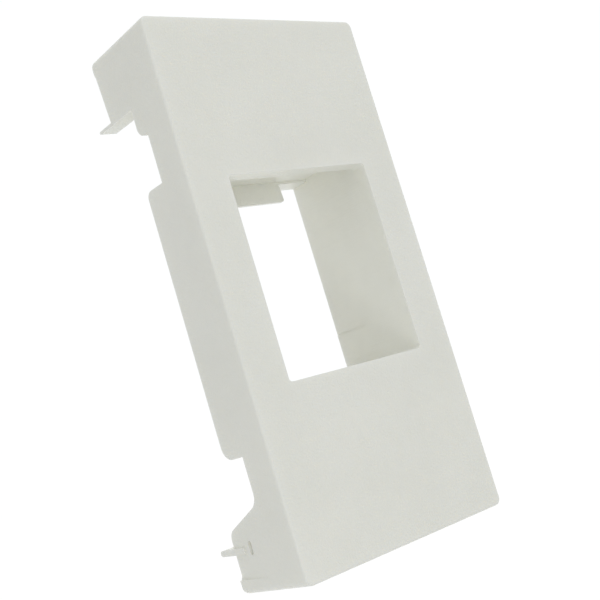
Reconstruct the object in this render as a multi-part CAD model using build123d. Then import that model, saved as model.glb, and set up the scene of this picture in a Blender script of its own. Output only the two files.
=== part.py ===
from build123d import *
import os

# Keystone adapter, moulded in one piece: a half-width cover plate with a skirt,
# and a channel behind its window that takes a keystone jack from the rear.
# Millimetres. X to the right, Y from the front face into the wall, Z up.
# The origin is the centre of the plate's front face.

# Cover plate and skirt
PLATE_WIDTH = 22.5
PLATE_HEIGHT = 45.0
PLATE_THICKNESS = 1.5
SIDE_WALL = 1.5
END_WALL = 1.15
SKIRT_DEPTH = 8.65
FRONT_EDGE_RADIUS = 0.22
CORNER_RADIUS = 0.6
REAR_EDGE_RADIUS = 0.45
INNER_RADIUS = 0.4
RIM_BEVEL = 0.35
RIM_BEVEL_START = 0.35

# Window and keystone channel
WINDOW_WIDTH = 14.8
WINDOW_HEIGHT = 16.8
WINDOW_RISE = 0.7
WINDOW_CORNER = 0.3
CHANNEL_WALL = 1.05
CHANNEL_DEPTH = 9.7
CHANNEL_CORNER = 0.8
LATCH_POCKET = 1.4
HOOK_POCKET = 1.9
HOOK_LEDGE_DEPTH = 5.0
HOOK_CATCH_THICKNESS = 1.05
HOOK_BLOCK_HEIGHT = 3.6
HOOK_BLOCK_PROUD = 0.2
HOOK_FLARE = 0.15

# Latch catch at the rear of the channel's roof
CATCH_WIDTH = 8.1
CATCH_FRONT = 7.7
CATCH_THICKNESS = 0.9
CATCH_EDGE = 0.35
CATCH_LEAN = 0.15
CATCH_CORNER = 0.25
CATCH_OVERLAP = 0.52
ROOF_LIP = 0.25

# Side walls: rear outline, from the ends towards the middle
UPPER_LEG_HEIGHT = 5.82
UPPER_LEG_DEPTH = 8.22
UPPER_LEG_TAPER = 0.34
UPPER_SHOULDER_HEIGHT = 2.48
UPPER_SHOULDER_DEPTH = 4.62
UPPER_NOTCH_HEIGHT = 4.16
NOTCH_DEPTH = 3.35
SADDLE_DEPTH = 5.78
LOWER_LEG_HEIGHT = 4.9
LOWER_LEG_DEPTH = 8.19
LOWER_NOTCH_HEIGHT = 3.67
LOWER_RAMP_RISE = 1.84

# Radii along that outline
SHOULDER_RADIUS = 0.85
SHOULDER_FOOT_RADIUS = 0.2
SADDLE_UPPER_RADIUS = 0.65
SADDLE_LOWER_RADIUS = 1.1
RAMP_FOOT_RADIUS = 1.2
RAMP_TOP_RADIUS = 0.95

# Thin tongues on the rear of the side walls
TONGUE_REACH = 9.93
UPPER_TONGUE_ROOT = 0.28
LOWER_TONGUE_ROOT = 0.52
TONGUE_TAPER = 0.06
TONGUE_TIP_ROUNDING = 0.45
LOWER_TONGUE_HEIGHT = 3.15

# Outside of the lower legs
LEG_RELIEF = 0.2
LEG_RELIEF_START = 4.3
DIMPLE_WIDTH = 0.42
DIMPLE_LENGTH = 1.15
DIMPLE_DEPTH = 0.35
DIMPLE_SETBACK = 2.4
DIMPLE_HEIGHT = 3.55

# Ribs behind the plate, lower than the notches so that a frame rail clears them
RIB_THICKNESS = 0.9
RIB_SPACING = 8.6
RIB_RAIL_GAP = 0.4
WEB_THICKNESS = 0.9
WEB_DEPTH = 4.6
WEB_SPACING = 10.0

# Marks of the mould's ejector pins on the plate's inner face
EJECTOR_DIAMETER = 2.4
EJECTOR_DEPTH = 0.1
EJECTOR_END_GAP = 2.0

# Lines that several features share
HALF_WIDTH = PLATE_WIDTH / 2
HALF_HEIGHT = PLATE_HEIGHT / 2
INNER_HALF_WIDTH = HALF_WIDTH - SIDE_WALL
INNER_HALF_HEIGHT = HALF_HEIGHT - END_WALL
WINDOW_TOP = WINDOW_RISE + WINDOW_HEIGHT / 2
WINDOW_BOTTOM = WINDOW_RISE - WINDOW_HEIGHT / 2
WINDOW_SIDE = WINDOW_WIDTH / 2
ROOF = WINDOW_TOP + LATCH_POCKET
CHANNEL_TOP = ROOF + CHANNEL_WALL
CHANNEL_FLOOR = WINDOW_BOTTOM - HOOK_POCKET
CHANNEL_BOTTOM = CHANNEL_FLOOR - CHANNEL_WALL
CHANNEL_SIDE = WINDOW_SIDE + CHANNEL_WALL
HOOK_BLOCK_TOP = WINDOW_BOTTOM + HOOK_BLOCK_HEIGHT
HOOK_BLOCK_DEPTH = CHANNEL_DEPTH + HOOK_BLOCK_PROUD
HOOK_CATCH_FRONT = HOOK_BLOCK_DEPTH - HOOK_CATCH_THICKNESS
UPPER_LEG_END = HALF_HEIGHT - UPPER_LEG_HEIGHT
UPPER_TONGUE_START = UPPER_LEG_DEPTH - UPPER_LEG_TAPER
LOWER_LEG_END = LOWER_LEG_HEIGHT - HALF_HEIGHT
LOWER_TONGUE_TOP = LOWER_TONGUE_HEIGHT + LOWER_TONGUE_ROOT - HALF_HEIGHT
CLEAR = 1.0

REARWARD = (0, 1, 0)


def block(x, y, z):
    """Box between pairs of X, Y and Z limits."""
    size = (x[1] - x[0], y[1] - y[0], z[1] - z[0])
    middle = ((x[0] + x[1]) / 2, (y[0] + y[1]) / 2, (z[0] + z[1]) / 2)
    return Pos(*middle) * Box(*size)


def front_prism(outline, start, depth):
    """Outline drawn as seen from the front, pushed rearward from a starting depth."""
    return extrude(Pos(0, start, 0) * (Plane.XZ * outline), amount=depth, dir=REARWARD)


def side_prism(corners, x_start, width):
    """Outline of ((depth, height), corner radius) pairs, given a width along X."""
    points = [point for point, radius in corners]
    radii = [radius for point, radius in corners]
    line = FilletPolyline(*points, radius=radii, close=True)
    return extrude(Pos(x_start, 0, 0) * (Plane.YZ * make_face(line)), amount=width)


def both_sides(shape):
    """The shape and its mirror image across the centre plane."""
    return shape + mirror(shape, Plane.YZ)


def skirted_plate():
    """Tray open to the rear, with rounded outer edges."""
    outline = RectangleRounded(PLATE_WIDTH, PLATE_HEIGHT, CORNER_RADIUS)
    tray = front_prism(outline, 0, SKIRT_DEPTH)
    front_edges = tray.faces().sort_by(Axis.Y)[0].edges()
    tray = fillet(front_edges, FRONT_EDGE_RADIUS)
    rear_edges = tray.faces().sort_by(Axis.Y)[-1].edges()
    tray = fillet(rear_edges, REAR_EDGE_RADIUS)
    opening = RectangleRounded(2 * INNER_HALF_WIDTH, 2 * INNER_HALF_HEIGHT, INNER_RADIUS)
    return tray - front_prism(opening, PLATE_THICKNESS, SKIRT_DEPTH)


def rail_side_cut():
    """What the side walls leave open to the rear, between the two end walls."""
    behind = SKIRT_DEPTH + CLEAR
    shoulder = UPPER_LEG_END - UPPER_SHOULDER_HEIGHT
    saddle_top = shoulder - UPPER_NOTCH_HEIGHT
    ramp_foot = LOWER_LEG_END + LOWER_RAMP_RISE
    saddle_bottom = ramp_foot + LOWER_NOTCH_HEIGHT
    corners = [
        ((behind, INNER_HALF_HEIGHT + RIM_BEVEL), 0),
        ((SKIRT_DEPTH, INNER_HALF_HEIGHT + RIM_BEVEL), 0),
        ((UPPER_LEG_DEPTH, INNER_HALF_HEIGHT - RIM_BEVEL_START), 0),
        ((UPPER_TONGUE_START, UPPER_LEG_END), 0),
        ((UPPER_SHOULDER_DEPTH, UPPER_LEG_END), SHOULDER_FOOT_RADIUS),
        ((UPPER_SHOULDER_DEPTH, shoulder), SHOULDER_RADIUS),
        ((NOTCH_DEPTH, shoulder), SHOULDER_FOOT_RADIUS),
        ((NOTCH_DEPTH, saddle_top), 0),
        ((SADDLE_DEPTH, saddle_top), SADDLE_UPPER_RADIUS),
        ((SADDLE_DEPTH, saddle_bottom), SADDLE_LOWER_RADIUS),
        ((NOTCH_DEPTH, saddle_bottom), 0),
        ((NOTCH_DEPTH, ramp_foot), RAMP_FOOT_RADIUS),
        ((LOWER_LEG_DEPTH, LOWER_LEG_END), RAMP_TOP_RADIUS),
        ((LOWER_LEG_DEPTH, RIM_BEVEL_START - INNER_HALF_HEIGHT), 0),
        ((SKIRT_DEPTH, -INNER_HALF_HEIGHT - RIM_BEVEL), 0),
        ((behind, -INNER_HALF_HEIGHT - RIM_BEVEL), 0),
    ]
    return side_prism(corners, -HALF_WIDTH - CLEAR, PLATE_WIDTH + 2 * CLEAR)


def tongue(top, thickness, root_depth):
    """Thin tongue on a side wall's rear edge, flat on top and thinner towards its rounded tip."""
    bottom = top - thickness
    tip_radius = TONGUE_TIP_ROUNDING * (thickness - TONGUE_TAPER)
    corners = [
        ((root_depth - SIDE_WALL, top), 0),
        ((TONGUE_REACH, top), tip_radius),
        ((TONGUE_REACH, bottom + TONGUE_TAPER), tip_radius),
        ((root_depth, bottom), 0),
        ((root_depth - SIDE_WALL, bottom), 0),
    ]
    return side_prism(corners, INNER_HALF_WIDTH, SIDE_WALL)


def leg_relief():
    """Wedge off the outside of a lower leg, which leaves the end wall a little proud."""
    behind = SKIRT_DEPTH + CLEAR
    slope = LEG_RELIEF / (LOWER_LEG_DEPTH - LEG_RELIEF_START)
    wedge = Polyline(
        (HALF_WIDTH, LEG_RELIEF_START),
        (HALF_WIDTH + CLEAR, LEG_RELIEF_START),
        (HALF_WIDTH + CLEAR, behind),
        (HALF_WIDTH - slope * (behind - LEG_RELIEF_START), behind),
        close=True,
    )
    floor = -INNER_HALF_HEIGHT
    height = LOWER_LEG_END + LOWER_RAMP_RISE - floor
    return extrude(Pos(0, 0, floor) * make_face(wedge), amount=height)


def leg_dimple():
    """Short upright recess in the outside of a lower leg."""
    slot = Rot(0, 0, 90) * SlotOverall(DIMPLE_LENGTH, DIMPLE_WIDTH)
    depth_place = LOWER_LEG_DEPTH - DIMPLE_SETBACK
    centre = (HALF_WIDTH, depth_place, DIMPLE_HEIGHT - HALF_HEIGHT)
    place = Plane(origin=centre, x_dir=(0, 1, 0), z_dir=(1, 0, 0))
    return extrude(place * slot, amount=DIMPLE_DEPTH, both=True)


def channel():
    """Walls round the jack, with the latch pocket above and the hook pocket below."""
    height = CHANNEL_TOP - CHANNEL_BOTTOM
    middle = (CHANNEL_TOP + CHANNEL_BOTTOM) / 2
    outline = Pos(0, middle) * RectangleRounded(2 * CHANNEL_SIDE, height, CHANNEL_CORNER)
    walls = front_prism(outline, 0, CHANNEL_DEPTH)
    block_x = (-CHANNEL_SIDE, CHANNEL_SIDE)
    proud = front_prism(outline, 0, HOOK_BLOCK_DEPTH) & block(
        block_x, (0, HOOK_BLOCK_DEPTH), (CHANNEL_BOTTOM, HOOK_BLOCK_TOP)
    )
    return walls + proud


def channel_bore():
    """The way through for the jack, with its two pockets and the flare by the hook."""
    side = (-WINDOW_SIDE, WINDOW_SIDE)
    behind = HOOK_BLOCK_DEPTH + CLEAR
    window = Pos(0, WINDOW_RISE) * RectangleRounded(WINDOW_WIDTH, WINDOW_HEIGHT, WINDOW_CORNER)
    bore = front_prism(window, -CLEAR, HOOK_LEDGE_DEPTH + CLEAR)
    bore += block(side, (HOOK_LEDGE_DEPTH, behind), (WINDOW_BOTTOM, WINDOW_TOP))
    bore += block(side, (PLATE_THICKNESS, CATCH_FRONT), (WINDOW_TOP - WINDOW_CORNER, ROOF))
    bore += block(side, (CATCH_FRONT, behind), (WINDOW_TOP, ROOF - ROOF_LIP))
    bore += block(side, (HOOK_LEDGE_DEPTH, HOOK_CATCH_FRONT), (CHANNEL_FLOOR, WINDOW_BOTTOM))
    slope = HOOK_FLARE / (HOOK_BLOCK_DEPTH - HOOK_LEDGE_DEPTH)
    flare = Polyline(
        (WINDOW_SIDE, HOOK_LEDGE_DEPTH),
        (WINDOW_SIDE + slope * (behind - HOOK_LEDGE_DEPTH), behind),
        (0, behind),
        (0, HOOK_LEDGE_DEPTH),
        close=True,
    )
    flare = extrude(Pos(0, 0, WINDOW_BOTTOM) * make_face(flare), amount=HOOK_BLOCK_HEIGHT)
    return bore + both_sides(flare)


def latch_catch():
    """Flap that hangs from the roof, level with the window's top, which the jack's latch snaps over."""
    bottom = WINDOW_TOP - CATCH_OVERLAP
    section = [
        ((CATCH_FRONT, ROOF + CHANNEL_WALL / 2), 0),
        ((CATCH_FRONT, ROOF), 0),
        ((CATCH_FRONT - CATCH_LEAN, bottom), 0),
        ((CATCH_FRONT - CATCH_LEAN + CATCH_EDGE, bottom), 0),
        ((CATCH_FRONT + CATCH_THICKNESS, ROOF), 0),
        ((CATCH_FRONT + CATCH_THICKNESS, ROOF + CHANNEL_WALL / 2), 0),
    ]
    flap = side_prism(section, -CATCH_WIDTH / 2, CATCH_WIDTH)
    lower_corners = flap.edges().filter_by(Axis.Y).group_by(Axis.Z)[0]
    return fillet(lower_corners, CATCH_CORNER)


def plate_ribs():
    """Low ribs from the channel to the end walls, and webs from the channel to the side walls."""
    rib_depth = (PLATE_THICKNESS / 2, NOTCH_DEPTH - RIB_RAIL_GAP)
    ribs = []
    for x in (-RIB_SPACING / 2, RIB_SPACING / 2):
        across = (x - RIB_THICKNESS / 2, x + RIB_THICKNESS / 2)
        ribs.append(block(across, rib_depth, (CHANNEL_TOP - CHANNEL_WALL / 2, HALF_HEIGHT - END_WALL / 2)))
        ribs.append(block(across, rib_depth, (END_WALL / 2 - HALF_HEIGHT, CHANNEL_BOTTOM + CHANNEL_WALL / 2)))
    web_depth = (PLATE_THICKNESS / 2, WEB_DEPTH)
    web_reach = (CHANNEL_SIDE - CHANNEL_WALL / 2, INNER_HALF_WIDTH + SIDE_WALL / 2)
    for z in (WINDOW_RISE - WEB_SPACING / 2, WINDOW_RISE + WEB_SPACING / 2):
        web = block(web_reach, web_depth, (z - WEB_THICKNESS / 2, z + WEB_THICKNESS / 2))
        ribs.append(both_sides(web))
    return ribs


def ejector_marks():
    """Shallow rounds in the plate's inner face, between the ribs and the side walls."""
    rib_side = (RIB_SPACING + RIB_THICKNESS) / 2
    height = INNER_HALF_HEIGHT - EJECTOR_END_GAP - EJECTOR_DIAMETER / 2
    places = GridLocations(rib_side + INNER_HALF_WIDTH, 2 * height, 2, 2)
    rounds = Sketch() + [place * Circle(EJECTOR_DIAMETER / 2) for place in places]
    return front_prism(rounds, PLATE_THICKNESS - EJECTOR_DEPTH, EJECTOR_DEPTH + CLEAR)


def adapter_body():
    body = skirted_plate() - rail_side_cut()
    body -= both_sides(leg_relief())
    body += both_sides(tongue(UPPER_LEG_END + UPPER_TONGUE_ROOT, UPPER_TONGUE_ROOT, UPPER_TONGUE_START))
    body += both_sides(tongue(LOWER_TONGUE_TOP, LOWER_TONGUE_ROOT, LOWER_LEG_DEPTH))
    body -= both_sides(leg_dimple())
    body += channel()
    for rib in plate_ribs():
        body += rib
    body -= ejector_marks()
    body -= channel_bore()
    return body + latch_catch()


os.makedirs("parts", exist_ok=True)
export_step(adapter_body(), "parts/adapter_body.step")
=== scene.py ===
"""Looks of the keystone adapter: a half-width cover plate with a skirt, moulded in off-white plastic.

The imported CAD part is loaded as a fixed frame. It keeps its own shape, and this script gives it the finish of
a spark-eroded moulding, and sets the pale floor, the soft studio light and the camera round it.
Lengths are in metres unless a docstring says millimetres.
"""

import logging
import math
from dataclasses import dataclass, field
from enum import Enum

import bmesh
import bpy
from mathutils import Matrix, Vector


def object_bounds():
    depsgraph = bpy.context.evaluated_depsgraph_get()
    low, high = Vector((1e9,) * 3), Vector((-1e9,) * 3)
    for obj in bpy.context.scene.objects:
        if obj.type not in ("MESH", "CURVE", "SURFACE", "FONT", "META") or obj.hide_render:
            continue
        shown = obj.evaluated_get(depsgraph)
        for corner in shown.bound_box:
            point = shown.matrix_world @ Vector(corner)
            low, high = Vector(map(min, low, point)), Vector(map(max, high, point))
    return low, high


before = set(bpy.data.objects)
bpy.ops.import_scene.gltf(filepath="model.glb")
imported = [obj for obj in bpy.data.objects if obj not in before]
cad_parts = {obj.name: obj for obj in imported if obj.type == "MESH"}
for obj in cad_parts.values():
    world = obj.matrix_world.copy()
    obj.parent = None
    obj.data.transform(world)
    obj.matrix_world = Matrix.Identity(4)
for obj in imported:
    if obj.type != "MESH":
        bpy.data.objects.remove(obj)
CAD_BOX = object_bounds()

Colour = tuple[float, float, float]
Point = tuple[float, float, float]

MM = 0.001
NOISE_MEAN = 0.5
WHITE: Colour = (1.0, 1.0, 1.0)
STUDIO_LIGHT: Colour = (0.987, 1.0, 1.0)

log = logging.getLogger("adapter")


class MouldSide(Enum):
    """The two halves of the mould, which leave different skins on the plastic."""

    CAVITY = "cavity"
    CORE = "core"


class Sock:
    """A number socket that takes part in Python arithmetic by adding Math nodes."""

    def __init__(self, graph: "Graph", socket: bpy.types.NodeSocket) -> None:
        """Wraps one socket.

        Args:
            graph: the node graph that new Math nodes go into.
            socket: the output socket to wrap.
        """
        self.graph = graph
        self.socket = socket

    def _math(self, operation: str, *values: "Sock | float") -> "Sock":
        """Adds one Math node.

        Args:
            operation: the Math node's operation.
            values: its inputs in order, as wrapped sockets or numbers.

        Returns:
            The wrapped result.
        """
        made = self.graph.node("ShaderNodeMath", {"operation": operation}, dict(enumerate(values)))
        return Sock(self.graph, made.outputs[0])

    def __add__(self, other: "Sock | float") -> "Sock":
        """Sum."""
        return self._math("ADD", self, other)

    __radd__ = __add__

    def __sub__(self, other: "Sock | float") -> "Sock":
        """Difference."""
        return self._math("SUBTRACT", self, other)

    def __rsub__(self, other: float) -> "Sock":
        """Difference with the number first."""
        return self._math("SUBTRACT", other, self)

    def __mul__(self, other: "Sock | float") -> "Sock":
        """Product."""
        return self._math("MULTIPLY", self, other)

    __rmul__ = __mul__

    def __abs__(self) -> "Sock":
        """Absolute value."""
        return self._math("ABSOLUTE", self)

    def ramp_up(self, low: float, high: float) -> "Sock":
        """Smooth step from 0 below low to 1 above high.

        Args:
            low: where the step starts.
            high: where it ends.

        Returns:
            The wrapped step.
        """
        made = self.graph.node(
            "ShaderNodeMapRange",
            {"interpolation_type": "SMOOTHSTEP"},
            {"Value": self, "From Min": low, "From Max": high},
        )
        return Sock(self.graph, made.outputs["Result"])


class Graph:
    """The node tree of one material or world, with one method for every kind of node."""

    # Places of the Mix node's colour sockets, because its sockets share their names.
    MIX_FACTOR = 0
    MIX_FIRST = 6
    MIX_SECOND = 7
    MIX_RESULT = 2

    def __init__(self, tree: bpy.types.NodeTree) -> None:
        """Empties a node tree and takes it over.

        Args:
            tree: the tree to fill.
        """
        tree.nodes.clear()
        self.tree = tree

    def node(
        self,
        kind: str,
        settings: dict[str, object] | None = None,
        inputs: dict[str | int, object] | None = None,
    ) -> bpy.types.Node:
        """Adds a node.

        Args:
            kind: the node's type name.
            settings: properties to set before its sockets.
            inputs: a value, wrapped socket or output socket for each input, by name or place.

        Returns:
            The new node.
        """
        made = self.tree.nodes.new(kind)
        for name, value in (settings or {}).items():
            setattr(made, name, value)
        for key, value in (inputs or {}).items():
            socket = made.inputs[key]
            if isinstance(value, Sock):
                self.tree.links.new(value.socket, socket)
            elif isinstance(value, bpy.types.NodeSocket):
                self.tree.links.new(value, socket)
            else:
                socket.default_value = value
        return made

    def noise(self, coordinates: bpy.types.NodeSocket, grain: float, detail: float) -> Sock:
        """Adds a noise pattern.

        Args:
            coordinates: the coordinates that it follows.
            grain: the size of its grains.
            detail: how many finer layers it has.

        Returns:
            The pattern, from 0 to 1 about NOISE_MEAN.
        """
        made = self.node(
            "ShaderNodeTexNoise",
            {"noise_dimensions": "3D"},
            {"Vector": coordinates, "Scale": 1 / grain, "Detail": detail},
        )
        return Sock(self, made.outputs[0])

    def mix_colour(self, factor: Sock, first: Colour, second: Colour) -> bpy.types.NodeSocket:
        """Mixes two colours.

        Args:
            factor: 0 for the first colour and 1 for the second.
            first: one colour.
            second: the other colour.

        Returns:
            The mixed colour's socket.
        """
        made = self.node(
            "ShaderNodeMix",
            {"data_type": "RGBA"},
            {self.MIX_FACTOR: factor, self.MIX_FIRST: (*first, 1.0), self.MIX_SECOND: (*second, 1.0)},
        )
        return made.outputs[self.MIX_RESULT]


def new_material(name: str) -> tuple[bpy.types.Material, Graph]:
    """Makes a material without nodes.

    Args:
        name: the material's name.

    Returns:
        The material and its empty graph.
    """
    material = bpy.data.materials.new(name)
    material.use_nodes = True
    return material, Graph(material.node_tree)


@dataclass(frozen=True)
class MouldedPlastic:
    """Off-white moulded plastic: a fine matte grain outside, and a smoother skin with draw lines inside.

    Attributes:
        light: colour of the lighter flow bands.
        dark: colour of the darker flow bands.
        flow: size of the flow bands.
        speck: size of the specks between the two colours.
        flow_share: the bands' share in the mixing of the colours, of which the specks have the rest.
        tint_span: values of each pattern between which it goes from the dark to the light colour.
        grain: size of the spark-eroded grain.
        relief: height that the full range of the grain pattern stands for.
        core_grain: how much of the grain's height is left on the core's side.
        draw_line: spacing of the draw lines.
        draw_squeeze: how fast the draw lines change along the mould's draw, as a part of that across it.
        draw_height: height of the draw lines, as a part of the relief.
        roughness: mean roughness of each mould side.
        grain_gloss: change of roughness over the range of the grain.
        flow_gloss: change of roughness over the range of the flow bands.
        refraction: the plastic's index of refraction.
        scatter: share of the light that scatters below the skin.
        scatter_reach: how far it scatters.
        scatter_colour: how far each colour of it goes, as a part of that reach.
        plate: thickness of the front plate.
        side_wall: thickness of the side walls.
        end_wall: thickness of the end walls.
        blend: width of the step between the two skins.
    """

    light: Colour = (0.862, 0.860, 0.803)
    dark: Colour = (0.836, 0.834, 0.775)
    flow: float = 7.0 * MM
    speck: float = 1.1 * MM
    flow_share: float = 0.75
    tint_span: tuple[float, float] = (0.3, 0.7)
    grain: float = 0.20 * MM
    relief: float = 0.05 * MM
    core_grain: float = 0.25
    draw_line: float = 0.22 * MM
    draw_squeeze: float = 0.03
    draw_height: float = 0.45
    roughness: tuple[tuple[MouldSide, float], ...] = ((MouldSide.CAVITY, 0.52), (MouldSide.CORE, 0.40))
    grain_gloss: float = 0.08
    flow_gloss: float = 0.06
    refraction: float = 1.5
    scatter: float = 0.3
    scatter_reach: float = 1.0 * MM
    scatter_colour: Colour = (1.0, 0.95, 0.85)
    plate: float = 1.5 * MM
    side_wall: float = 1.5 * MM
    end_wall: float = 1.15 * MM
    blend: float = 0.1 * MM

    def core_mask(self, graph: Graph, position: bpy.types.NodeSocket) -> Sock:
        """Finds the surfaces that the mould's core shaped, behind the plate and within the skirt.

        Args:
            graph: the material's node graph.
            position: Object coordinates.

        Returns:
            1 on the core's side and 0 on the cavity's side.
        """
        parts = graph.node("ShaderNodeSeparateXYZ", None, {"Vector": position}).outputs
        x, y, z = (Sock(graph, part) for part in parts)
        wall_x = CAD_BOX[1].x - self.side_wall + self.blend
        wall_z = CAD_BOX[1].z - self.end_wall + self.blend
        behind = y.ramp_up(self.plate - self.blend, self.plate)
        out_x = abs(x).ramp_up(wall_x, wall_x + self.blend)
        out_z = abs(z).ramp_up(wall_z, wall_z + self.blend)
        return behind * (1 - out_x) * (1 - out_z)

    def build(self, name: str) -> bpy.types.Material:
        """Makes the material.

        Args:
            name: the material's name.

        Returns:
            The material.
        """
        material, graph = new_material(name)
        position = graph.node("ShaderNodeTexCoord").outputs["Object"]
        core = self.core_mask(graph, position)

        flow = graph.noise(position, self.flow, detail=3.0)
        speck = graph.noise(position, self.speck, detail=2.0)
        bands = flow.ramp_up(*self.tint_span)
        specks = speck.ramp_up(*self.tint_span)
        tint = bands * self.flow_share + specks * (1 - self.flow_share)
        colour = graph.mix_colour(tint, self.dark, self.light)

        grain = graph.noise(position, self.grain, detail=2.0)
        squeezed = graph.node(
            "ShaderNodeMapping",
            {"vector_type": "POINT"},
            {"Vector": position, "Scale": (1.0, self.draw_squeeze, 1.0)},
        )
        draw_lines = graph.noise(squeezed.outputs[0], self.draw_line, detail=1.0)
        core_height = grain * self.core_grain + draw_lines * self.draw_height
        height = grain * (1 - core) + core_height * core

        rough = dict(self.roughness)
        outside, inside = rough[MouldSide.CAVITY], rough[MouldSide.CORE]
        change = (grain - NOISE_MEAN) * self.grain_gloss + (flow - NOISE_MEAN) * self.flow_gloss
        roughness = outside + (inside - outside) * core + change

        bump = graph.node(
            "ShaderNodeBump",
            None,
            {"Strength": 1.0, "Distance": self.relief, "Height": height},
        )
        shader = graph.node(
            "ShaderNodeBsdfPrincipled",
            None,
            {
                "Base Color": colour,
                "Roughness": roughness,
                "IOR": self.refraction,
                "Subsurface Weight": self.scatter,
                "Subsurface Radius": self.scatter_colour,
                "Subsurface Scale": self.scatter_reach,
                "Normal": bump.outputs[0],
            },
        )
        graph.node("ShaderNodeOutputMaterial", None, {"Surface": shader.outputs[0]})
        return material


@dataclass(frozen=True)
class PaleFloorFinish:
    """Matte white sheet lit from below, as on a product table.

    Attributes:
        colour: the sheet's own colour.
        roughness: the sheet's roughness.
        glow: how much light comes through the sheet.
    """

    colour: Colour = (0.10, 0.10, 0.10)
    roughness: float = 0.9
    glow: float = 0.95

    def build(self, name: str) -> bpy.types.Material:
        """Makes the material.

        Args:
            name: the material's name.

        Returns:
            The material.
        """
        material, graph = new_material(name)
        shader = graph.node(
            "ShaderNodeBsdfPrincipled",
            None,
            {
                "Base Color": (*self.colour, 1.0),
                "Roughness": self.roughness,
                "Specular IOR Level": 0.0,
                "Emission Color": (*WHITE, 1.0),
                "Emission Strength": self.glow,
            },
        )
        graph.node("ShaderNodeOutputMaterial", None, {"Surface": shader.outputs[0]})
        return material


@dataclass
class AdapterBody:
    """The one moulding: cover plate, skirt, keystone channel, latch catch and tongues.

    Attributes:
        node: the CAD node's name.
        finish: the plastic.
    """

    node: str = "adapter_body"
    finish: MouldedPlastic = field(default_factory=MouldedPlastic)

    def dress(self) -> bpy.types.Object:
        """Gives the CAD node its finish through its object's material slots.

        Returns:
            The dressed object.
        """
        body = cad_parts[self.node]
        material = self.finish.build("moulded_plastic")
        for slot in body.material_slots:
            slot.link = "OBJECT"
            slot.material = material
        return body


@dataclass
class StudioFloor:
    """Pale sheet that the adapter stands on, which shows in the picture and sends the part no light.

    Attributes:
        height: the sheet's height, which is the lowest point of the part.
        half_width: half the sheet's width.
        finish: the sheet's material.
    """

    height: float
    half_width: float = 3.0
    finish: PaleFloorFinish = field(default_factory=PaleFloorFinish)

    def build(self) -> bpy.types.Object:
        """Makes the sheet and hides it from every ray but the camera's.

        Returns:
            The sheet.
        """
        sheet = bmesh.new()
        bmesh.ops.create_grid(sheet, x_segments=1, y_segments=1, size=self.half_width)
        bmesh.ops.translate(sheet, verts=sheet.verts, vec=(0.0, 0.0, self.height))
        mesh = bpy.data.meshes.new("pale_floor")
        sheet.to_mesh(mesh)
        sheet.free()
        floor = bpy.data.objects.new("pale_floor", mesh)
        floor.data.materials.append(self.finish.build("pale_sheet"))
        bpy.context.scene.collection.objects.link(floor)
        for ray in ("diffuse", "glossy", "transmission", "shadow"):
            setattr(floor, f"visible_{ray}", False)
        return floor


@dataclass
class SoftBox:
    """One soft studio light.

    Attributes:
        name: the light's name.
        place: where it hangs.
        aim: the point it faces.
        width: its side length.
        power: its power in watts.
        colour: the colour of its light.
    """

    name: str
    place: Point
    aim: Point
    width: float
    power: float
    colour: Colour = STUDIO_LIGHT

    def build(self) -> bpy.types.Object:
        """Hangs the light.

        Returns:
            The light's object.
        """
        lamp = bpy.data.lights.new(self.name, "AREA")
        lamp.shape = "SQUARE"
        lamp.size = self.width
        lamp.energy = self.power
        lamp.color = self.colour
        made = bpy.data.objects.new(self.name, lamp)
        made.location = self.place
        direction = Vector(self.aim) - Vector(self.place)
        made.rotation_euler = direction.to_track_quat("-Z", "Y").to_euler()
        bpy.context.scene.collection.objects.link(made)
        return made


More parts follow.
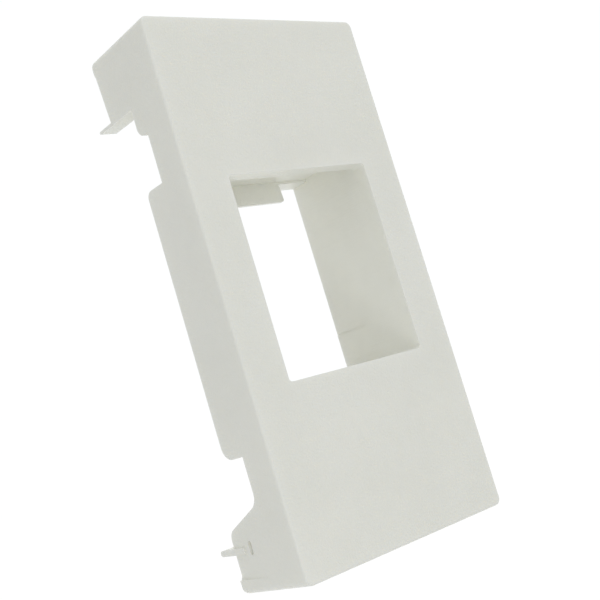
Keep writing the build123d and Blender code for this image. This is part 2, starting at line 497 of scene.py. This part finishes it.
@dataclass
class Studio:
    """White tent, which is blown out in the picture and lights the part softly, and the soft lights.

    Attributes:
        tint: the colour of its light.
        backdrop: how bright the tent looks.
        fill: how strongly it lights the part.
        sweep: how strongly its lit back wall does.
        sweep_side: the direction of that wall.
        sweep_edge: cosines of the angle from that direction, where the wall begins and where it is fully lit.
        boxes: the soft lights.
    """

    tint: Colour = STUDIO_LIGHT
    backdrop: float = 1.02
    fill: float = 0.63
    sweep: float = 1.1
    sweep_side: Point = (0.66, 0.75, 0.1)
    sweep_edge: tuple[float, float] = (0.1, 0.7)
    boxes: tuple[SoftBox, ...] = (
        SoftBox("high_softbox", place=(-0.02, -0.22, 0.32), aim=(0.0, 0.0, 0.0), width=0.20, power=0.285),
        SoftBox("low_softbox", place=(-0.10, -0.12, -0.12), aim=(0.0, 0.0, -0.01), width=0.08, power=0.045),
    )

    def build(self) -> list[bpy.types.Object]:
        """Makes the tent and hangs the lights.

        Returns:
            The lights' objects.
        """
        world = bpy.data.worlds.new("white_tent")
        world.use_nodes = True
        graph = Graph(world.node_tree)
        seen = Sock(graph, graph.node("ShaderNodeLightPath").outputs["Is Camera Ray"])
        ray = graph.node("ShaderNodeTexCoord").outputs["Generated"]
        towards = graph.node(
            "ShaderNodeVectorMath",
            {"operation": "DOT_PRODUCT"},
            {0: ray, 1: self.sweep_side},
        )
        wall = Sock(graph, towards.outputs["Value"]).ramp_up(*self.sweep_edge)
        light = self.fill + (self.sweep - self.fill) * wall
        surround = graph.node(
            "ShaderNodeBackground",
            None,
            {"Color": (*self.tint, 1.0), "Strength": light * (1 - seen) + self.backdrop * seen},
        )
        graph.node("ShaderNodeOutputWorld", None, {"Surface": surround.outputs[0]})
        bpy.context.scene.world = world
        bpy.context.scene.view_settings.view_transform = "Standard"
        return [box.build() for box in self.boxes]


@dataclass
class PhotoCamera:
    """Camera at the photograph's viewing angle.

    Attributes:
        place: where it stands, in millimetres.
        target: the point that its axis meets, in millimetres.
        roll: its turn about its axis, in degrees.
        lens: focal length in millimetres.
        sensor: width of the sensor in millimetres.
        shift: sideways and upward shift, as parts of the frame's width.
        reach: nearest and farthest distance that it sees.
    """

    place: Point = (-58.111, -63.107, -11.135)
    target: Point = (-2.699, 0.0, -2.861)
    roll: float = -16.917
    lens: float = 63.574
    sensor: float = 36.0
    shift: tuple[float, float] = (-0.02867, 0.02002)
    reach: tuple[float, float] = (0.005, 20.0)

    def build(self) -> bpy.types.Object:
        """Sets the camera up and makes it the scene's camera.

        Returns:
            The camera's object.
        """
        optics = bpy.data.cameras.new("photo_camera")
        optics.sensor_width = self.sensor
        optics.lens = self.lens
        optics.shift_x, optics.shift_y = self.shift
        optics.clip_start, optics.clip_end = self.reach
        camera = bpy.data.objects.new("photo_camera", optics)
        axis = Vector(self.target) - Vector(self.place)
        turn = axis.to_track_quat("-Z", "Y").to_matrix() @ Matrix.Rotation(math.radians(self.roll), 3, "Z")
        camera.matrix_world = Matrix.Translation(Vector(self.place) * MM) @ turn.to_4x4()
        bpy.context.scene.collection.objects.link(camera)
        bpy.context.scene.camera = camera
        return camera


def main() -> None:
    """Builds the scene in order and reports each piece."""
    logging.basicConfig(level=logging.INFO, format="%(name)s: %(message)s")
    body = AdapterBody().dress()
    log.info("dressed %s", body.name)
    floor = StudioFloor(height=CAD_BOX[0].z).build()
    log.info("laid %s at %.4f m", floor.name, CAD_BOX[0].z)
    for light in Studio().build():
        log.info("hung %s", light.name)
    camera = PhotoCamera().build()
    log.info("set %s", camera.name)


if __name__ == "__main__":
    main()
